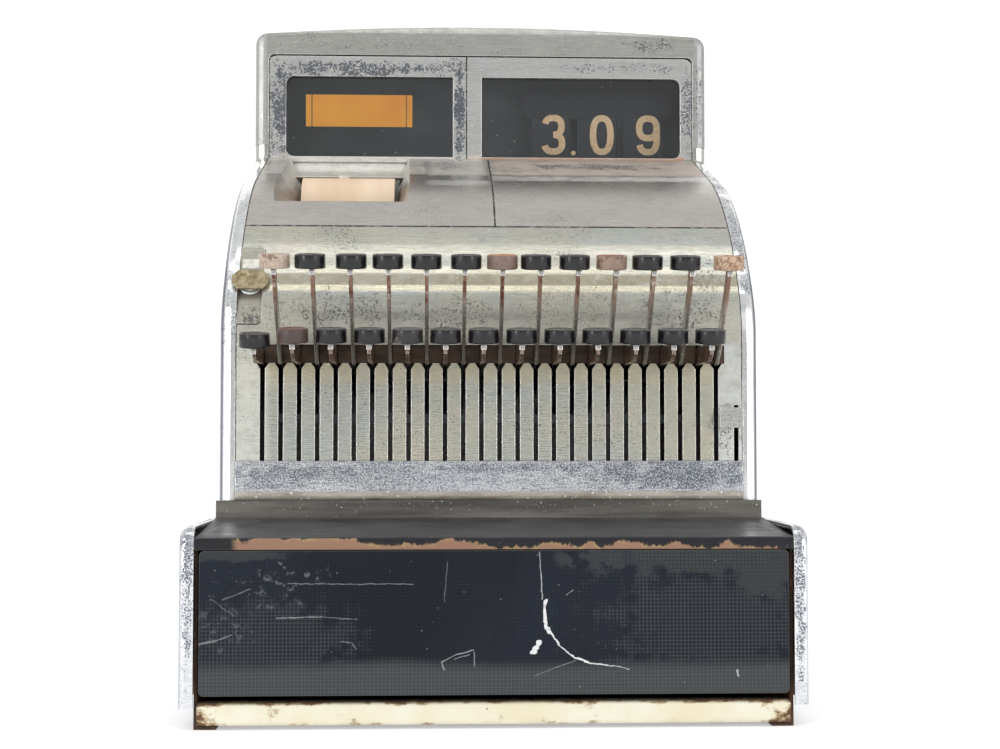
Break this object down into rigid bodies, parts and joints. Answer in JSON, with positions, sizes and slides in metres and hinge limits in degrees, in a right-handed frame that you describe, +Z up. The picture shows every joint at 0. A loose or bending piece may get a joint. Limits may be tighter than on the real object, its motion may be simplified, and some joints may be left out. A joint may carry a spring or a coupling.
{
  "type": "mechanical cash register",
  "caption": "Counter-top mechanical till with two rows of press-down keys, pop-up indicator flags, a receipt printer lid and a sliding cash drawer.",
  "frame": {"origin": "centre of the bounding box, at the height of the counter it stands on", "axes": "+Z up, +X to the right seen from the front, front faces -Y"},
  "size_m": [0.4, 0.4028, 0.53],
  "materials": {
    "painted_black": "worn crackle enamel",
    "painted_cream": "chipped enamel over rust",
    "pan_steel": "rusted brown sheet",
    "bright_skirt": "pitted chrome",
    "worn_nickel": "worn satin plating",
    "bright_trim": "pitted chrome",
    "ledge_paint": "dusty dark paint",
    "lever_steel": "rust-stained steel",
    "bare_steel": "machined",
    "bed_iron": "rough",
    "brass": "tarnished",
    "glass": "clear",
    "flag_enamel": "satin navy black",
    "paper": "aged tan",
    "tray_board": "moulded fibre"
  },
  "bodies": {
    "root": {"base_pan": "pan_steel", "base_rail": "painted_cream", "side_skirts": "bright_skirt", "bed_plate": "bed_iron", "ledge_cover": "ledge_paint", "left_side_panel": "bright_trim", "right_side_panel": "bright_trim", "front_cover": "worn_nickel", "trim_band": "bright_trim", "lock_plate": "worn_nickel", "right_top_cover": "worn_nickel", "right_bezel": "worn_nickel", "indicator_glass": "glass", "indicator_hood": "worn_nickel", "back_cover": "worn_nickel", "mechanism_frame": "bare_steel", "key_shaft": "bare_steel", "key_spring_comb": "bare_steel", "flag_guide": "bare_steel", "roll_spindle": "bare_steel", "drawer_spring": "bare_steel"},
    "drawer": {"drawer_front": "painted_black", "drawer_box": "pan_steel", "till_tray": "tray_board"},
    "lid": {"printer_lid": "worn_nickel", "lid_glass": "glass"},
    "lock": {"lock_key": "brass"},
    "release": {"release_lever": "bright_trim"},
    "latch": {"drawer_latch": "bare_steel"},
    "dollar": {"dollar_flag": "flag_enamel"},
    "dime": {"dime_flag": "flag_enamel"},
    "cent": {"cent_flag": "flag_enamel"},
    "word": {"word_flag": "flag_enamel"},
    "roll": {"receipt_roll": "paper"},
    "key_01": {"key_01": "lever_steel"},
    "key_02": {"key_02": "lever_steel"},
    "key_03": {"key_03": "lever_steel"},
    "key_04": {"key_04": "lever_steel"},
    "key_05": {"key_05": "lever_steel"},
    "key_06": {"key_06": "lever_steel"},
    "key_07": {"key_07": "lever_steel"},
    "key_08": {"key_08": "lever_steel"},
    "key_09": {"key_09": "lever_steel"},
    "key_10": {"key_10": "lever_steel"},
    "key_11": {"key_11": "lever_steel"},
    "key_12": {"key_12": "lever_steel"},
    "key_13": {"key_13": "lever_steel"},
    "key_14": {"key_14": "lever_steel"},
    "key_15": {"key_15": "lever_steel"},
    "key_16": {"key_16": "lever_steel"},
    "key_17": {"key_17": "lever_steel"},
    "key_18": {"key_18": "lever_steel"},
    "key_19": {"key_19": "lever_steel"},
    "key_20": {"key_20": "lever_steel"},
    "key_21": {"key_21": "lever_steel"},
    "key_22": {"key_22": "lever_steel"},
    "key_23": {"key_23": "lever_steel"},
    "key_24": {"key_24": "lever_steel"},
    "key_25": {"key_25": "lever_steel"},
    "key_26": {"key_26": "lever_steel"}
  },
  "joints": [
    {"name": "drawer_slide", "type": "slide", "parent": "root", "child": "drawer", "axis": [0, -1, 0], "range_m": [0, 0.28]},
    {"name": "lid_hinge", "type": "hinge", "parent": "root", "child": "lid", "pos_m": [0, 0.11695, 0.50143], "axis": [-1, 0, 0], "range_deg": [0, 60]},
    {"name": "lock_turn", "type": "hinge", "parent": "root", "child": "lock", "pos_m": [-0.16885, -0.08244, 0.2915], "axis": [0, -0.8752, 0.4838], "range_deg": [0, 90]},
    {"name": "release_press", "type": "hinge", "parent": "root", "child": "release", "pos_m": [0.173, 0.01135, 0.196], "axis": [1, 0, 0], "range_deg": [0, 13], "stiffness_Nm_per_rad": 0.6, "springref_deg": -22.92},
    {"name": "latch_lift", "type": "hinge", "parent": "root", "child": "latch", "pos_m": [0, 0.17965, 0.1], "axis": [-1, 0, 0], "range_deg": [0, 18]},
    {"name": "dollar_drop", "type": "slide", "parent": "root", "child": "dollar", "axis": [0, 0, -1], "range_m": [0, 0.066]},
    {"name": "dime_drop", "type": "slide", "parent": "root", "child": "dime", "axis": [0, 0, -1], "range_m": [0, 0.066]},
    {"name": "cent_drop", "type": "slide", "parent": "root", "child": "cent", "axis": [0, 0, -1], "range_m": [0, 0.066]},
    {"name": "word_drop", "type": "slide", "parent": "root", "child": "word", "axis": [0, 0, -1], "range_m": [0, 0.066]},
    {"name": "roll_turn", "type": "hinge", "parent": "root", "child": "roll", "pos_m": [-0.1075, 0.06635, 0.36205], "axis": [1, 0, 0], "continuous": true},
    {"name": "key_01_press", "type": "hinge", "parent": "root", "child": "key_01", "pos_m": [0, 0.15135, 0.228], "axis": [1, 0, 0], "range_deg": [0, 6.8], "stiffness_Nm_per_rad": 1.5, "springref_deg": -22.92, "deforming": ["key_spring_comb"]},
    {"name": "key_02_press", "type": "hinge", "parent": "root", "child": "key_02", "pos_m": [0, 0.15135, 0.228], "axis": [1, 0, 0], "range_deg": [0, 6.8], "stiffness_Nm_per_rad": 1.5, "springref_deg": -22.92},
    {"name": "key_03_press", "type": "hinge", "parent": "root", "child": "key_03", "pos_m": [0, 0.15135, 0.228], "axis": [1, 0, 0], "range_deg": [0, 6.8], "stiffness_Nm_per_rad": 1.5, "springref_deg": -22.92},
    {"name": "key_04_press", "type": "hinge", "parent": "root", "child": "key_04", "pos_m": [0, 0.15135, 0.228], "axis": [1, 0, 0], "range_deg": [0, 6.8], "stiffness_Nm_per_rad": 1.5, "springref_deg": -22.92},
    {"name": "key_05_press", "type": "hinge", "parent": "root", "child": "key_05", "pos_m": [0, 0.15135, 0.228], "axis": [1, 0, 0], "range_deg": [0, 6.8], "stiffness_Nm_per_rad": 1.5, "springref_deg": -22.92},
    {"name": "key_06_press", "type": "hinge", "parent": "root", "child": "key_06", "pos_m": [0, 0.15135, 0.228], "axis": [1, 0, 0], "range_deg": [0, 6.8], "stiffness_Nm_per_rad": 1.5, "springref_deg": -22.92},
    {"name": "key_07_press", "type": "hinge", "parent": "root", "child": "key_07", "pos_m": [0, 0.15135, 0.228], "axis": [1, 0, 0], "range_deg": [0, 6.8], "stiffness_Nm_per_rad": 1.5, "springref_deg": -22.92},
    {"name": "key_08_press", "type": "hinge", "parent": "root", "child": "key_08", "pos_m": [0, 0.15135, 0.228], "axis": [1, 0, 0], "range_deg": [0, 6.8], "stiffness_Nm_per_rad": 1.5, "springref_deg": -22.92},
    {"name": "key_09_press", "type": "hinge", "parent": "root", "child": "key_09", "pos_m": [0, 0.15135, 0.228], "axis": [1, 0, 0], "range_deg": [0, 6.8], "stiffness_Nm_per_rad": 1.5, "springref_deg": -22.92},
    {"name": "key_10_press", "type": "hinge", "parent": "root", "child": "key_10", "pos_m": [0, 0.15135, 0.228], "axis": [1, 0, 0], "range_deg": [0, 6.8], "stiffness_Nm_per_rad": 1.5, "springref_deg": -22.92},
    {"name": "key_11_press", "type": "hinge", "parent": "root", "child": "key_11", "pos_m": [0, 0.15135, 0.228], "axis": [1, 0, 0], "range_deg": [0, 6.8], "stiffness_Nm_per_rad": 1.5, "springref_deg": -22.92},
    {"name": "key_12_press", "type": "hinge", "parent": "root", "child": "key_12", "pos_m": [0, 0.15135, 0.228], "axis": [1, 0, 0], "range_deg": [0, 6.8], "stiffness_Nm_per_rad": 1.5, "springref_deg": -22.92},
    {"name": "key_13_press", "type": "hinge", "parent": "root", "child": "key_13", "pos_m": [0, 0.15135, 0.228], "axis": [1, 0, 0], "range_deg": [0, 6.8], "stiffness_Nm_per_rad": 1.5, "springref_deg": -22.92},
    {"name": "key_14_press", "type": "hinge", "parent": "root", "child": "key_14", "pos_m": [0, 0.15135, 0.228], "axis": [1, 0, 0], "range_deg": [0, 6.8], "stiffness_Nm_per_rad": 1.5, "springref_deg": -22.92},
    {"name": "key_15_press", "type": "hinge", "parent": "root", "child": "key_15", "pos_m": [0, 0.15135, 0.228], "axis": [1, 0, 0], "range_deg": [0, 6.8], "stiffness_Nm_per_rad": 1.5, "springref_deg": -22.92},
    {"name": "key_16_press", "type": "hinge", "parent": "root", "child": "key_16", "pos_m": [0, 0.15135, 0.228], "axis": [1, 0, 0], "range_deg": [0, 6.8], "stiffness_Nm_per_rad": 1.5, "springref_deg": -22.92},
    {"name": "key_17_press", "type": "hinge", "parent": "root", "child": "key_17", "pos_m": [0, 0.15135, 0.228], "axis": [1, 0, 0], "range_deg": [0, 6.8], "stiffness_Nm_per_rad": 1.5, "springref_deg": -22.92},
    {"name": "key_18_press", "type": "hinge", "parent": "root", "child": "key_18", "pos_m": [0, 0.15135, 0.228], "axis": [1, 0, 0], "range_deg": [0, 6.8], "stiffness_Nm_per_rad": 1.5, "springref_deg": -22.92},
    {"name": "key_19_press", "type": "hinge", "parent": "root", "child": "key_19", "pos_m": [0, 0.15135, 0.228], "axis": [1, 0, 0], "range_deg": [0, 6.8], "stiffness_Nm_per_rad": 1.5, "springref_deg": -22.92},
    {"name": "key_20_press", "type": "hinge", "parent": "root", "child": "key_20", "pos_m": [0, 0.15135, 0.228], "axis": [1, 0, 0], "range_deg": [0, 6.8], "stiffness_Nm_per_rad": 1.5, "springref_deg": -22.92},
    {"name": "key_21_press", "type": "hinge", "parent": "root", "child": "key_21", "pos_m": [0, 0.15135, 0.228], "axis": [1, 0, 0], "range_deg": [0, 6.8], "stiffness_Nm_per_rad": 1.5, "springref_deg": -22.92},
    {"name": "key_22_press", "type": "hinge", "parent": "root", "child": "key_22", "pos_m": [0, 0.15135, 0.228], "axis": [1, 0, 0], "range_deg": [0, 6.8], "stiffness_Nm_per_rad": 1.5, "springref_deg": -22.92},
    {"name": "key_23_press", "type": "hinge", "parent": "root", "child": "key_23", "pos_m": [0, 0.15135, 0.228], "axis": [1, 0, 0], "range_deg": [0, 6.8], "stiffness_Nm_per_rad": 1.5, "springref_deg": -22.92},
    {"name": "key_24_press", "type": "hinge", "parent": "root", "child": "key_24", "pos_m": [0, 0.15135, 0.228], "axis": [1, 0, 0], "range_deg": [0, 6.8], "stiffness_Nm_per_rad": 1.5, "springref_deg": -22.92},
    {"name": "key_25_press", "type": "hinge", "parent": "root", "child": "key_25", "pos_m": [0, 0.15135, 0.228], "axis": [1, 0, 0], "range_deg": [0, 6.8], "stiffness_Nm_per_rad": 1.5, "springref_deg": -22.92},
    {"name": "key_26_press", "type": "hinge", "parent": "root", "child": "key_26", "pos_m": [0, 0.15135, 0.228], "axis": [1, 0, 0], "range_deg": [0, 6.8], "stiffness_Nm_per_rad": 1.5, "springref_deg": -22.92}
  ],
  "couplings": [
    {"joint": "latch_lift", "follows": "release_press", "ratio": 1.38}
  ]
}
